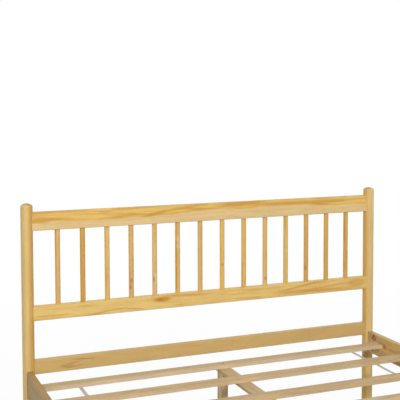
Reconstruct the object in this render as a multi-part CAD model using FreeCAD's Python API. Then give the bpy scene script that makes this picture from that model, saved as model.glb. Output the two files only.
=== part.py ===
import FreeCAD, Part
import math
import os

# A pine spindle bed for a queen mattress: a tall headboard with round posts and round
# spindles, a low foot end, two side rails with ledgers, and a slatted base that lifts out.
# Millimetres. +X is the sleeper's side seen on the right from the foot, +Y points to the
# head, +Z is up. The origin is on the floor, in the middle of the bed.

V = FreeCAD.Vector

# ---- mattress and the room left around it ----
MATTRESS_WIDTH = 1524.0
MATTRESS_LENGTH = 2032.0
MATTRESS_SIDE_GAP = 10.0
MATTRESS_END_GAP = 5.0

# ---- round posts ----
POST_DIAMETER = 48.0
POST_CROWN_RADIUS = 34.0
POST_SHOULDER_RADIUS = 10.0
HEAD_POST_RISE = 36.0
FOOT_POST_RISE = 40.0
HOUSING_DEPTH = 8.0

# ---- side rails, foot rail and ledgers, and the rounding of boards and battens ----
RAIL_TOP = 336.0
RAIL_HEIGHT = 95.0
RAIL_THICKNESS = 24.0
LEDGER_HEIGHT = 30.0
LEDGER_WIDTH = 20.0
LEDGER_END_SETBACK = 81.0
BOARD_EDGE_RADIUS = 2.5
BATTEN_EDGE_RADIUS = 1.5
LARGEST_EDGE_SHARE = 0.4

# ---- headboard, from the rail tops upwards ----
BOTTOM_RAIL_RISE = 39.0
BOTTOM_RAIL_HEIGHT = 57.0
BOTTOM_RAIL_THICKNESS = 24.0
OPEN_PANEL_HEIGHT = 158.0
SPINDLE_RAIL_HEIGHT = 57.0
SPINDLE_RAIL_THICKNESS = 30.0
SPINDLE_SHOWN_LENGTH = 301.0
TOP_RAIL_HEIGHT = 73.0
TOP_RAIL_THICKNESS = 30.0

# ---- spindles ----
SPINDLE_DIAMETER = 21.0
SPINDLE_PITCH = 102.0
SPINDLE_SEAT_DEPTH = 20.0
SPINDLE_LEAST_END_SPACE = 60.0

# ---- slats and their webbing ----
SLAT_WIDTH = 52.0
SLAT_THICKNESS = 15.0
SLAT_RECESS = 30.0
SLAT_END_GAP = 7.0
SLAT_FIRST_GAP = 76.0
SLAT_WIDEST_PITCH = 205.0
SECOND_SLAT_SHIFT = 11.0
WEBBING_WIDTH = 15.0
WEBBING_THICKNESS = 1.2
WEBBING_FROM_CENTRE = 612.0
WEBBING_TAIL = 16.0

# ---- centre beam and its legs ----
BEAM_WIDTH = 53.0
BEAM_THICKNESS = 15.0
BEAM_END_SETBACK = 10.0
LEG_WIDTH = 28.0
LEG_DEPTH = 47.0
LEG_SETBACK = 17.0

# ---- glides under the posts and legs ----
GLIDE_THICKNESS = 4.0
POST_GLIDE_DIAMETER = 38.0
LEG_GLIDE_DIAMETER = 24.0
GLIDE_PIN_DIAMETER = 5.0
GLIDE_PIN_LENGTH = 16.0
GLIDE_EDGE = 1.0

# ---- bed bolts, washers and barrel nuts ----
BOLT_DIAMETER = 8.0
BOLT_EDGE_DISTANCE = 20.0
BOLT_PAST_NUT = 10.0
BOLT_HEAD_DIAMETER = 17.0
BOLT_HEAD_HEIGHT = 4.5
BOLT_SOCKET_FLATS = 5.0
BOLT_SOCKET_DEPTH = 3.0
WASHER_DIAMETER = 20.0
WASHER_THICKNESS = 1.5
NUT_SETBACK = 57.0
NUT_DIAMETER = 16.0
NUT_LENGTH = 18.0
NUT_BELOW_FACE = 1.0
NUT_SLOT_WIDTH = 2.0
NUT_SLOT_DEPTH = 2.5
NUT_RIM_CHAMFER = 1.5
PEEP_HOLE_DIAMETER = 8.0
PEEP_HOLE_DEPTH = 10.0
PEEP_HOLE_RISE = 12.5

# ---- dowels ----
DOWEL_DIAMETER = 10.0
DOWEL_IN_POST = 18.0
DOWEL_IN_RAIL = 30.0
DOWEL_EDGE_DISTANCE = 15.0
FOOT_DOWEL_SPREAD = 24.0
DOWEL_CHAMFER = 1.0

# ---- countersunk screws and staples ----
SCREW_DIAMETER = 4.0
SCREW_HEAD_DIAMETER = 8.0
SCREW_HEAD_HEIGHT = 3.0
SCREW_TIP_LENGTH = 4.0
SCREW_POINT_RADIUS = 0.2
SCREW_CROSS_LENGTH = 4.4
SCREW_CROSS_WIDTH = 1.0
SCREW_CROSS_DEPTH = 1.4
LEDGER_SCREW_LENGTH = 36.0
LEDGER_SCREW_PITCH = 320.0
LEDGER_SCREW_END = 40.0
LEG_SCREW_LENGTH = 50.0
LEG_SCREW_FROM_SIDE = 7.0
LEG_SCREW_FROM_END = 13.0
SLAT_SCREW_LENGTH = 27.0
STAPLE_WIRE = 1.2
STAPLE_CROWN = 10.0
STAPLE_LEG = 7.0

# ---- clearances ----
HOLE_CLEARANCE = 0.1
BOLT_HOLE_CLEARANCE = 0.5
COUNTERBORE_CLEARANCE = 1.0

# ---- places worked out from the sizes above ----
POST_RADIUS = POST_DIAMETER / 2
HOUSING_FLOOR = POST_RADIUS - HOUSING_DEPTH
RAIL_INNER_X = MATTRESS_WIDTH / 2 + MATTRESS_SIDE_GAP
POST_X = RAIL_INNER_X + RAIL_THICKNESS / 2
POST_Y = MATTRESS_LENGTH / 2 + MATTRESS_END_GAP + POST_RADIUS
RAIL_BOTTOM = RAIL_TOP - RAIL_HEIGHT
RAIL_MIDDLE = RAIL_TOP - RAIL_HEIGHT / 2
BOLT_LEVELS = (RAIL_BOTTOM + BOLT_EDGE_DISTANCE, RAIL_TOP - BOLT_EDGE_DISTANCE)

BOTTOM_RAIL_TOP = RAIL_TOP + BOTTOM_RAIL_RISE
SPINDLE_RAIL_BOTTOM = BOTTOM_RAIL_TOP + OPEN_PANEL_HEIGHT
SPINDLE_RAIL_TOP = SPINDLE_RAIL_BOTTOM + SPINDLE_RAIL_HEIGHT
TOP_RAIL_BOTTOM = SPINDLE_RAIL_TOP + SPINDLE_SHOWN_LENGTH
TOP_RAIL_TOP = TOP_RAIL_BOTTOM + TOP_RAIL_HEIGHT
HEAD_POST_TOP = TOP_RAIL_TOP + HEAD_POST_RISE
FOOT_POST_TOP = RAIL_TOP + FOOT_POST_RISE

SLAT_TOP = RAIL_TOP - SLAT_RECESS
SLAT_BOTTOM = SLAT_TOP - SLAT_THICKNESS
BEAM_BOTTOM = SLAT_BOTTOM - BEAM_THICKNESS
SLAT_HALF_LENGTH = RAIL_INNER_X - SLAT_END_GAP
FIRST_SLAT_Y = POST_Y - POST_RADIUS - SLAT_FIRST_GAP - SLAT_WIDTH / 2
BEAM_END_Y = FIRST_SLAT_Y + SLAT_WIDTH / 2 - BEAM_END_SETBACK
BEAM_LEFT = -BEAM_WIDTH / 2
LEDGER_END_Y = POST_Y - HOUSING_FLOOR - LEDGER_END_SETBACK

LEFT, RIGHT = -1, 1
FOOT, HEAD = -1, 1
SIDE_NAMES = {LEFT: "left", RIGHT: "right"}
END_NAMES = {FOOT: "foot", HEAD: "head"}
CORNERS = [(side, end) for side in (LEFT, RIGHT) for end in (FOOT, HEAD)]


def save(name, shape):
    shape.exportStep(os.path.join("parts", name + ".step"))


def rod(diameter, start, end):
    """A plain round rod from one point to another."""
    way = end - start
    return Part.makeCylinder(diameter / 2, way.Length, start, way)


def block(low, high):
    """A plain box between its lowest and highest corners."""
    size = high - low
    return Part.makeBox(size.x, size.y, size.z, low)


def plank(low, high, radius):
    """A board whose four long edges are rounded."""
    box = block(low, high)
    size = high - low
    longest = max(size.x, size.y, size.z)
    thinnest = min(size.x, size.y, size.z)
    edges = [e for e in box.Edges if abs(e.Length - longest) < longest * 1e-6]
    return box.makeFillet(min(radius, thinnest * LARGEST_EDGE_SHARE), edges)


def group(solids):
    return Part.makeCompound(solids)


# ---------------------------------------------------------------- boards of the frame

def headboard_rail(bottom, top, thickness):
    """A board across the head end, let into both posts."""
    reach = POST_X - HOUSING_FLOOR
    return plank(V(-reach, POST_Y - thickness / 2, bottom),
                 V(reach, POST_Y + thickness / 2, top), BOARD_EDGE_RADIUS)


def side_rail(side):
    """A board along one side, let into the head and foot posts."""
    reach = POST_Y - HOUSING_FLOOR
    low_x = side * POST_X - RAIL_THICKNESS / 2
    return plank(V(low_x, -reach, RAIL_BOTTOM),
                 V(low_x + RAIL_THICKNESS, reach, RAIL_TOP), BOARD_EDGE_RADIUS)


def foot_rail():
    reach = POST_X - HOUSING_FLOOR
    return plank(V(-reach, -POST_Y - RAIL_THICKNESS / 2, RAIL_BOTTOM),
                 V(reach, -POST_Y + RAIL_THICKNESS / 2, RAIL_TOP), BOARD_EDGE_RADIUS)


def ledger(side):
    """The strip inside a side rail that the slat ends lie on."""
    inner = side * (RAIL_INNER_X - LEDGER_WIDTH)
    outer = side * RAIL_INNER_X
    return plank(V(min(inner, outer), -LEDGER_END_Y, SLAT_BOTTOM - LEDGER_HEIGHT),
                 V(max(inner, outer), LEDGER_END_Y, SLAT_BOTTOM), BATTEN_EDGE_RADIUS)


def post(side, end):
    """A round post: its top is a wide crown arc that meets the side in a shoulder arc."""
    top = HEAD_POST_TOP if end == HEAD else FOOT_POST_TOP
    to_shoulder = POST_RADIUS - POST_SHOULDER_RADIUS
    between = POST_CROWN_RADIUS - POST_SHOULDER_RADIUS
    shoulder_z = top - POST_CROWN_RADIUS + math.sqrt(between ** 2 - to_shoulder ** 2)
    crown_z = top - POST_CROWN_RADIUS
    lean = math.atan2(to_shoulder, shoulder_z - crown_z)

    def on_arc(centre_r, centre_z, radius, angle):
        return V(centre_r + radius * math.sin(angle), 0, centre_z + radius * math.cos(angle))

    apex = V(0, 0, top)
    crown_mid = on_arc(0, crown_z, POST_CROWN_RADIUS, lean / 2)
    joint = on_arc(0, crown_z, POST_CROWN_RADIUS, lean)
    shoulder_mid = on_arc(to_shoulder, shoulder_z, POST_SHOULDER_RADIUS,
                          (lean + math.pi / 2) / 2)
    shoulder = V(POST_RADIUS, 0, shoulder_z)
    foot_rim = V(POST_RADIUS, 0, GLIDE_THICKNESS)
    foot_centre = V(0, 0, GLIDE_THICKNESS)
    outline = Part.Wire([
        Part.Arc(apex, crown_mid, joint).toShape(),
        Part.Arc(joint, shoulder_mid, shoulder).toShape(),
        Part.LineSegment(shoulder, foot_rim).toShape(),
        Part.LineSegment(foot_rim, foot_centre).toShape(),
        Part.LineSegment(foot_centre, apex).toShape()])
    solid = Part.Face(outline).revolve(V(0, 0, 0), V(0, 0, 1), 360)
    solid.translate(V(side * POST_X, end * POST_Y, 0))
    return solid


# ---------------------------------------------------------------- spindles

def spindle_places():
    room = 2 * (POST_X - POST_RADIUS - SPINDLE_LEAST_END_SPACE)
    count = int(room // SPINDLE_PITCH) + 1
    return [(i - (count - 1) / 2) * SPINDLE_PITCH for i in range(count)]


def spindle(x, extra=0.0):
    """A plain round stick, seated in a blind hole at each end."""
    return rod(SPINDLE_DIAMETER + extra,
               V(x, POST_Y, SPINDLE_RAIL_TOP - SPINDLE_SEAT_DEPTH),
               V(x, POST_Y, TOP_RAIL_BOTTOM + SPINDLE_SEAT_DEPTH))


# ---------------------------------------------------------------- slatted base

def slat_places():
    """Slat centres from head to foot, evenly spaced apart from the second one."""
    span = 2 * FIRST_SLAT_Y
    gaps = math.ceil(span / SLAT_WIDEST_PITCH)
    places = [FIRST_SLAT_Y - i * span / gaps for i in range(gaps + 1)]
    places[1] += SECOND_SLAT_SHIFT
    return places


def slat(y):
    return plank(V(-SLAT_HALF_LENGTH, y - SLAT_WIDTH / 2, SLAT_BOTTOM),
                 V(SLAT_HALF_LENGTH, y + SLAT_WIDTH / 2, SLAT_TOP), BATTEN_EDGE_RADIUS)


def webbing(side):
    """A flat ribbon stapled under every slat."""
    x = side * WEBBING_FROM_CENTRE
    reach = FIRST_SLAT_Y + WEBBING_TAIL
    return block(V(x - WEBBING_WIDTH / 2, -reach, SLAT_BOTTOM - WEBBING_THICKNESS),
                 V(x + WEBBING_WIDTH / 2, reach, SLAT_BOTTOM))


def centre_beam():
    return plank(V(BEAM_LEFT, -BEAM_END_Y, BEAM_BOTTOM),
                 V(BEAM_LEFT + BEAM_WIDTH, BEAM_END_Y, SLAT_BOTTOM), BATTEN_EDGE_RADIUS)


def leg_places(slats):
    """Leg centres along the beam: near both ends, and under the slat next to the middle."""
    end = BEAM_END_Y - LEG_SETBACK - LEG_DEPTH / 2
    middle = slats[(len(slats) - 1) // 2]
    return {"head": end, "middle": middle, "foot": -end}


def centre_leg(y):
    """A square-cut leg, flush with the beam's left side."""
    return plank(V(BEAM_LEFT, y - LEG_DEPTH / 2, GLIDE_THICKNESS),
                 V(BEAM_LEFT + LEG_WIDTH, y + LEG_DEPTH / 2, BEAM_BOTTOM), BATTEN_EDGE_RADIUS)


# ---------------------------------------------------------------- fasteners

def screw(place, way, length, extra=0.0, recess=True):
    """A countersunk screw: its flat head is at place, and its point goes along way."""
    neck = SCREW_DIAMETER / 2 + extra
    rim = SCREW_HEAD_DIAMETER / 2 + extra
    head = Part.makeCone(rim, neck, SCREW_HEAD_HEIGHT, V(0, 0, 0), V(0, 0, 1))
    shank_end = length - SCREW_TIP_LENGTH + extra
    shank = Part.makeCylinder(neck, shank_end - SCREW_HEAD_HEIGHT, V(0, 0, SCREW_HEAD_HEIGHT))
    point = SCREW_POINT_RADIUS + extra
    tip = Part.makeCone(neck, point, SCREW_TIP_LENGTH, V(0, 0, shank_end), V(0, 0, 1))
    solid = head.fuse([shank, tip]).removeSplitter()
    if recess:
        half = SCREW_CROSS_LENGTH / 2
        thin = SCREW_CROSS_WIDTH / 2
        cross = [block(V(-half, -thin, 0), V(half, thin, SCREW_CROSS_DEPTH)),
                 block(V(-thin, -half, 0), V(thin, half, SCREW_CROSS_DEPTH))]
        solid = solid.cut(cross)
    solid.Placement = FreeCAD.Placement(place, FreeCAD.Rotation(V(0, 0, 1), way))
    return solid


def screws_and_holes(places, way, length):
    """The screws at some places, and the slightly wider shapes that make room for them."""
    made = [screw(p, way, length) for p in places]
    holes = [screw(p, way, length, HOLE_CLEARANCE / 2, recess=False) for p in places]
    return made, holes


def ledger_screw_places(side):
    run = 2 * (LEDGER_END_Y - LEDGER_SCREW_END)
    gaps = math.ceil(run / LEDGER_SCREW_PITCH)
    x = side * (RAIL_INNER_X - LEDGER_WIDTH)
    z = SLAT_BOTTOM - LEDGER_HEIGHT / 2
    return [V(x, -run / 2 + i * run / gaps, z) for i in range(gaps + 1)]


def leg_screw_places(y, end):
    """Two screws side by side through the beam into a leg, hidden under a slat."""
    screw_y = y + end * (LEG_DEPTH / 2 - LEG_SCREW_FROM_END)
    return [V(BEAM_LEFT + LEG_SCREW_FROM_SIDE, screw_y, SLAT_BOTTOM),
            V(BEAM_LEFT + LEG_WIDTH - LEG_SCREW_FROM_SIDE, screw_y, SLAT_BOTTOM)]


def bolt_line(side, end, level):
    """The axis of a bed bolt: a point on the post's axis and the outward direction."""
    return V(side * POST_X, end * POST_Y, level), V(0, end, 0)


def bed_bolt(side, end, level):
    """A bolt with a low round head and a hexagon socket, from the post into the rail."""
    axis, out = bolt_line(side, end, level)
    seat = axis + out * (HOUSING_FLOOR + WASHER_THICKNESS)
    tip = axis - out * (HOUSING_FLOOR + NUT_SETBACK + BOLT_PAST_NUT)
    head = rod(BOLT_HEAD_DIAMETER, seat, seat + out * BOLT_HEAD_HEIGHT)
    solid = head.fuse(rod(BOLT_DIAMETER, seat, tip))
    corner = BOLT_SOCKET_FLATS / math.sqrt(3)
    face_centre = seat + out * BOLT_HEAD_HEIGHT
    turns = [math.radians(60 * i) for i in range(7)]
    ring = [face_centre + V(corner * math.cos(a), 0, corner * math.sin(a)) for a in turns]
    socket = Part.Face(Part.makePolygon(ring)).extrude(out * -BOLT_SOCKET_DEPTH)
    return solid.cut(socket).removeSplitter()


def bolt_holes(side, end, level):
    """The counterbore and the long hole that a bed bolt needs in the post and the rail."""
    axis, out = bolt_line(side, end, level)
    seat = axis + out * HOUSING_FLOOR
    tip = axis - out * (HOUSING_FLOOR + NUT_SETBACK + BOLT_PAST_NUT + BOLT_HOLE_CLEARANCE)
    return [rod(WASHER_DIAMETER + COUNTERBORE_CLEARANCE, seat, axis + out * POST_DIAMETER),
            rod(BOLT_DIAMETER + BOLT_HOLE_CLEARANCE, seat, tip)]


def washer(side, end, level):
    axis, out = bolt_line(side, end, level)
    seat = axis + out * HOUSING_FLOOR
    top = seat + out * WASHER_THICKNESS
    hole = BOLT_DIAMETER + BOLT_HOLE_CLEARANCE
    return rod(WASHER_DIAMETER, seat, top).cut(rod(hole, seat, top))


def nut_face(side, end, level):
    """The middle of the barrel nut's slotted face, and the direction it looks in."""
    inward = V(-side, 0, 0)
    y = end * (POST_Y - HOUSING_FLOOR - NUT_SETBACK)
    return V(side * (RAIL_INNER_X + NUT_BELOW_FACE), y, level), inward


def barrel_nut(side, end, level):
    """A round cross nut with a screwdriver slot, turned to meet the bolt."""
    face, inward = nut_face(side, end, level)
    body = rod(NUT_DIAMETER, face, face - inward * NUT_LENGTH)
    along = V(0, NUT_DIAMETER, 0)
    middle = V(side * POST_X, face.y, level)
    thread = rod(BOLT_DIAMETER + HOLE_CLEARANCE, middle - along, middle + along)
    slot_deep = face - inward * NUT_SLOT_DEPTH
    half = V(0, NUT_DIAMETER, NUT_SLOT_WIDTH / 2)
    low = V(min(face.x, slot_deep.x), face.y, level) - half
    high = V(max(face.x, slot_deep.x), face.y, level) + half
    return body.cut([thread, block(low, high)])


def nut_holes(side, end, level):
    """The chamfered cross bore of a barrel nut, and the small blind hole just above it."""
    face, inward = nut_face(side, end, level)
    mouth = face + inward * NUT_BELOW_FACE
    bore = NUT_DIAMETER + HOLE_CLEARANCE
    wide = bore / 2 + NUT_RIM_CHAMFER
    rim = Part.makeCone(wide, bore / 2, NUT_RIM_CHAMFER, mouth, inward * -1)
    above = mouth + V(0, 0, PEEP_HOLE_RISE)
    return [rod(bore, mouth, face - inward * NUT_LENGTH), rim,
            rod(PEEP_HOLE_DIAMETER, above, above - inward * PEEP_HOLE_DEPTH)]


def dowel(at, way, extra=0.0):
    """A round dowel across a joint: at lies on the housing's floor, way points into the post."""
    start = at - way * DOWEL_IN_RAIL
    end = at + way * DOWEL_IN_POST
    solid = rod(DOWEL_DIAMETER + extra, start, end)
    if extra:
        return solid
    rims = [e for e in solid.Edges if e.Closed]
    return solid.makeChamfer(DOWEL_CHAMFER, rims)


def crossing_dowel_places(bottom, top, end, spread=None):
    """Two dowels, one over the other, at each end of a board between two posts."""
    middle = (bottom + top) / 2
    half = (top - bottom) / 2 - DOWEL_EDGE_DISTANCE if spread is None else spread / 2
    return [(V(side * (POST_X - HOUSING_FLOOR), end * POST_Y, middle + lift), V(side, 0, 0))
            for side in (LEFT, RIGHT) for lift in (-half, half)]


def glide(x, y, diameter):
    """A hard plastic glide: a rounded disc with a pin that is knocked into the wood."""
    disc = Part.makeCylinder(diameter / 2, GLIDE_THICKNESS, V(x, y, 0))
    rim = [e for e in disc.Edges if e.Closed and e.CenterOfMass.z < GLIDE_THICKNESS / 2]
    disc = disc.makeChamfer(GLIDE_EDGE, rim)
    pin = rod(GLIDE_PIN_DIAMETER, V(x, y, GLIDE_THICKNESS / 2),
              V(x, y, GLIDE_THICKNESS + GLIDE_PIN_LENGTH))
    return disc.fuse(pin).removeSplitter()


def glide_hole(x, y):
    return rod(GLIDE_PIN_DIAMETER + HOLE_CLEARANCE, V(x, y, GLIDE_THICKNESS),
               V(x, y, GLIDE_THICKNESS + GLIDE_PIN_LENGTH))


def staple(x, y, extra=0.0):
    """A flat wire staple from under the ribbon into the slat, its crown across the ribbon."""
    low = SLAT_BOTTOM - WEBBING_THICKNESS - STAPLE_WIRE
    half = STAPLE_CROWN / 2 + extra
    wire = STAPLE_WIRE / 2 + extra
    rise = low + STAPLE_WIRE + STAPLE_LEG + extra
    crown = block(V(x - half, y - wire, low), V(x + half, y + wire, low + STAPLE_WIRE))
    arm = STAPLE_WIRE + 2 * extra
    legs = [block(V(x - half, y - wire, low), V(x - half + arm, y + wire, rise)),
            block(V(x + half - arm, y - wire, low), V(x + half, y + wire, rise))]
    return crown.fuse(legs).removeSplitter()


# ---------------------------------------------------------------- assembly

def build_frame():
    """The headboard, the foot end, the side rails and all that holds them together."""
    boards = {
        "headboard_bottom_rail": headboard_rail(
            BOTTOM_RAIL_TOP - BOTTOM_RAIL_HEIGHT, BOTTOM_RAIL_TOP, BOTTOM_RAIL_THICKNESS),
        "headboard_spindle_rail": headboard_rail(
            SPINDLE_RAIL_BOTTOM, SPINDLE_RAIL_TOP, SPINDLE_RAIL_THICKNESS),
        "headboard_top_rail": headboard_rail(
            TOP_RAIL_BOTTOM, TOP_RAIL_TOP, TOP_RAIL_THICKNESS),
        "foot_rail": foot_rail(),
        "side_rail_left": side_rail(LEFT),
        "side_rail_right": side_rail(RIGHT)}

    head_dowels = (
        crossing_dowel_places(BOTTOM_RAIL_TOP - BOTTOM_RAIL_HEIGHT, BOTTOM_RAIL_TOP, HEAD)
        + crossing_dowel_places(SPINDLE_RAIL_BOTTOM, SPINDLE_RAIL_TOP, HEAD)
        + crossing_dowel_places(TOP_RAIL_BOTTOM, TOP_RAIL_TOP, HEAD))
    foot_dowels = crossing_dowel_places(RAIL_BOTTOM, RAIL_TOP, FOOT, FOOT_DOWEL_SPREAD)
    rail_dowels = [(V(side * POST_X, end * (POST_Y - HOUSING_FLOOR), RAIL_MIDDLE), V(0, end, 0))
                   for side, end in CORNERS]
    save("headboard_dowels", group([dowel(*place) for place in head_dowels]))
    save("foot_rail_dowels", group([dowel(*place) for place in foot_dowels]))
    save("side_rail_dowels", group([dowel(*place) for place in rail_dowels]))
    dowel_holes = {
        HEAD: [dowel(*place, extra=HOLE_CLEARANCE) for place in head_dowels],
        FOOT: [dowel(*place, extra=HOLE_CLEARANCE) for place in foot_dowels]}
    rail_dowel_holes = [dowel(*place, extra=HOLE_CLEARANCE) for place in rail_dowels]

    joints = [(side, end, level) for side, end in CORNERS for level in BOLT_LEVELS]
    save("bed_bolts", group([bed_bolt(*j) for j in joints]))
    save("bolt_washers", group([washer(*j) for j in joints]))
    save("barrel_nuts", group([barrel_nut(*j) for j in joints]))

    save("post_glides", group([glide(side * POST_X, end * POST_Y, POST_GLIDE_DIAMETER)
                               for side, end in CORNERS]))
    for side, end in CORNERS:
        holes = [hole for j in joints if j[:2] == (side, end) for hole in bolt_holes(*j)]
        holes += dowel_holes[end] + rail_dowel_holes
        holes.append(glide_hole(side * POST_X, end * POST_Y))
        name = END_NAMES[end] + "_post_" + SIDE_NAMES[side]
        save(name, post(side, end).cut(list(boards.values()) + holes))

    seats = [spindle(x, HOLE_CLEARANCE) for x in spindle_places()]
    for number, x in enumerate(spindle_places(), 1):
        save(f"spindle_{number:02d}", spindle(x))
    for name in ("headboard_spindle_rail", "headboard_top_rail"):
        save(name, boards[name].cut(seats + dowel_holes[HEAD]))
    save("headboard_bottom_rail", boards["headboard_bottom_rail"].cut(dowel_holes[HEAD]))
    save("foot_rail", boards["foot_rail"].cut(dowel_holes[FOOT]))

    all_screws = []
    for side in (LEFT, RIGHT):
        outward = V(side, 0, 0)
        screws, holes = screws_and_holes(ledger_screw_places(side), outward,
                                         LEDGER_SCREW_LENGTH)
        all_screws += screws
        save("slat_ledger_" + SIDE_NAMES[side], ledger(side).cut(holes))
        for j in joints:
            if j[0] == side:
                holes += bolt_holes(*j) + nut_holes(*j)
        name = "side_rail_" + SIDE_NAMES[side]
        save(name, boards[name].cut(holes + rail_dowel_holes))
    save("ledger_screws", group(all_screws))


def build_slat_base():
    """The slats with their webbing, on the centre beam and its legs."""
    slats = slat_places()
    legs = leg_places(slats)
    down = V(0, 0, -1)

    leg_screws = []
    leg_screw_holes = []
    for name, y in legs.items():
        end = FOOT if name == "foot" else HEAD
        screws, holes = screws_and_holes(leg_screw_places(y, end), down, LEG_SCREW_LENGTH)
        leg_screws += screws
        leg_screw_holes += holes
    slat_screws, slat_screw_holes = screws_and_holes(
        [V(0, y, SLAT_TOP) for y in (slats[0], slats[-1])], down, SLAT_SCREW_LENGTH)
    save("leg_screws", group(leg_screws))
    save("slat_screws", group(slat_screws))

    save("centre_beam", centre_beam().cut(leg_screw_holes + slat_screw_holes))
    middle_x = BEAM_LEFT + LEG_WIDTH / 2
    for name, y in legs.items():
        save("centre_leg_" + name,
             centre_leg(y).cut(leg_screw_holes + [glide_hole(middle_x, y)]))
    save("leg_glides", group([glide(middle_x, y, LEG_GLIDE_DIAMETER) for y in legs.values()]))

    sides = [side * WEBBING_FROM_CENTRE for side in (LEFT, RIGHT)]
    save("webbing_staples", group([staple(x, y) for x in sides for y in slats]))
    staple_holes = {y: [staple(x, y, HOLE_CLEARANCE / 2) for x in sides] for y in slats}
    for end, y in ((HEAD, slats[0]), (FOOT, slats[-1])):
        save("end_slat_" + END_NAMES[end], slat(y).cut(staple_holes[y] + slat_screw_holes))
    for number, y in enumerate(slats[1:-1], 1):
        save(f"slat_{number:02d}", slat(y).cut(staple_holes[y]))
    every_staple_hole = [hole for holes in staple_holes.values() for hole in holes]
    for side in (LEFT, RIGHT):
        save("slat_webbing_" + SIDE_NAMES[side], webbing(side).cut(every_staple_hole))


os.makedirs("parts", exist_ok=True)
build_frame()
build_slat_base()
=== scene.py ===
import math

import bpy
import numpy as np
from mathutils import Euler, Matrix, Vector


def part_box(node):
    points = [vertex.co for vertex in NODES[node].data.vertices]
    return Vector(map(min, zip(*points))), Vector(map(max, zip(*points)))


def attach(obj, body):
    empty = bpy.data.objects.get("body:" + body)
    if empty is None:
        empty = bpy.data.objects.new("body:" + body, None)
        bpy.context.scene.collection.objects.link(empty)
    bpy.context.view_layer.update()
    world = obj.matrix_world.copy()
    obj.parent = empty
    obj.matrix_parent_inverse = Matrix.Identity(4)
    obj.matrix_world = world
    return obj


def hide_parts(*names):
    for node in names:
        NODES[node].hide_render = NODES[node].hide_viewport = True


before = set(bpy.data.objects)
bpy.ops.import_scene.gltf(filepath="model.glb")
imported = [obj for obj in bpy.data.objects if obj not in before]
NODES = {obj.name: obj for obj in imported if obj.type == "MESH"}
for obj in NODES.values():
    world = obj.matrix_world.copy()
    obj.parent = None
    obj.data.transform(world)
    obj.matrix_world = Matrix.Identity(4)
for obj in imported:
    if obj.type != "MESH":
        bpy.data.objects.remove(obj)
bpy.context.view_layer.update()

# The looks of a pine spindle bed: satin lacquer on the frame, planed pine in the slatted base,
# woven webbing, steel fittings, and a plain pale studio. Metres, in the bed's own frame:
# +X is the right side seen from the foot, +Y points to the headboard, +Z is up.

SLAT_BASE = "slat_base"      # the body that lifts out
MM = 0.001                   # in metres
PER_METRE = 1000.0           # millimetres


# ---------------------------------------------------------------- places taken from the frame

def centre_mm(node):
    """The middle of a CAD node's box, in millimetres."""
    low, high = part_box(node)
    return (low + high) * (0.5 * PER_METRE)


def half_size_mm(node):
    """Half of a CAD node's box along X, Y and Z, in millimetres, to the nearest micrometre."""
    low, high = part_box(node)
    return [round(side * PER_METRE / 2, 3) for side in high - low]


def numbered(prefix):
    """The nodes of a numbered row, in their order."""
    return sorted(name for name in NODES if name.startswith(prefix))


SPINDLES = numbered("spindle_")
SLATS = ["end_slat_head"] + numbered("slat_0") + ["end_slat_foot"]
LEGS = ["centre_leg_head", "centre_leg_middle", "centre_leg_foot"]


# ---------------------------------------------------------------- materials: common tools

def linear(hex_colour):
    """An sRGB hex colour as linear RGBA: (c / 12.92) below the knee, a power of 2.4 above it."""
    srgb = np.array([int(hex_colour[i:i + 2], 16) for i in (1, 3, 5)]) / 255.0
    light = np.where(srgb <= 0.04045, srgb / 12.92, ((srgb + 0.055) / 1.055) ** 2.4)
    return (*light.tolist(), 1.0)


def add(tree, kind, links=None, stops=None, **settings):
    """Adds a node. settings are its attributes, links fill its inputs with a socket or a value,
    and stops are a colour ramp's places and greys."""
    node = tree.nodes.new(kind)
    for name, value in settings.items():
        setattr(node, name, value)
    for key, value in (links or {}).items():
        if isinstance(value, bpy.types.NodeSocket):
            tree.links.new(value, node.inputs[key])
        else:
            node.inputs[key].default_value = value
    if stops:
        ramp = node.color_ramp
        while len(ramp.elements) < len(stops):
            ramp.elements.new(1.0)
        for element, (place, grey) in zip(ramp.elements, stops):
            element.position = place
            element.color = (grey, grey, grey, 1.0)
    return node


def new_material(name, **fixed):
    """A material with one Principled surface, whose sockets get the fixed values."""
    material = bpy.data.materials.new(name)
    material.use_nodes = True
    tree = material.node_tree
    tree.nodes.clear()
    surface = add(tree, "ShaderNodeBsdfPrincipled",
                  {key.replace("_", " "): value for key, value in fixed.items()})
    add(tree, "ShaderNodeOutputMaterial", {"Surface": surface.outputs[0]})
    return material, tree, surface


def dress(piece, material):
    """Puts one material in every slot of a piece."""
    if not piece.material_slots:
        piece.data.materials.append(material)
    for slot in piece.material_slots:
        slot.material = material


# ---------------------------------------------------------------- wood: colours

# Pine under satin clear lacquer: golden heartwood and paler, cooler sapwood, each with a soft
# early wood and a darker late wood line; the lacquer deepens it and gives a broad soft gloss.
LACQUERED = {
    "wood": "pine",
    "heart early": "#E1BC69", "heart late": "#CC9B48",
    "sap early": "#DDC089", "sap late": "#CAA76F",
    "flame": "#C6923C", "fleck": "#A4743A", "knot": "#9C5520",
    "roughness": 0.45, "coat": 0.12, "coat roughness": 0.30, "specular": 0.30, "relief": 0.10,
    "fibre": 0.05}

# The posts are turned from a deeper heartwood than the boards; laid on each post's inner side,
# that darker heartwood is also painted shade.
TURNED_POST = LACQUERED | {
    "heart early": "#CFA55A", "heart late": "#BB8A40",
    "sap early": "#DDBE7C", "sap late": "#CDA869"}

# The same lacquer over plainer, browner boards, which take it in more and look duller.
BROWNER = LACQUERED | {
    "heart early": "#C9A35F", "heart late": "#B68A48",
    "sap early": "#CCAB6E", "sap late": "#BC9759", "flame": "#BA8E48", "coat": 0.05}
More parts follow.
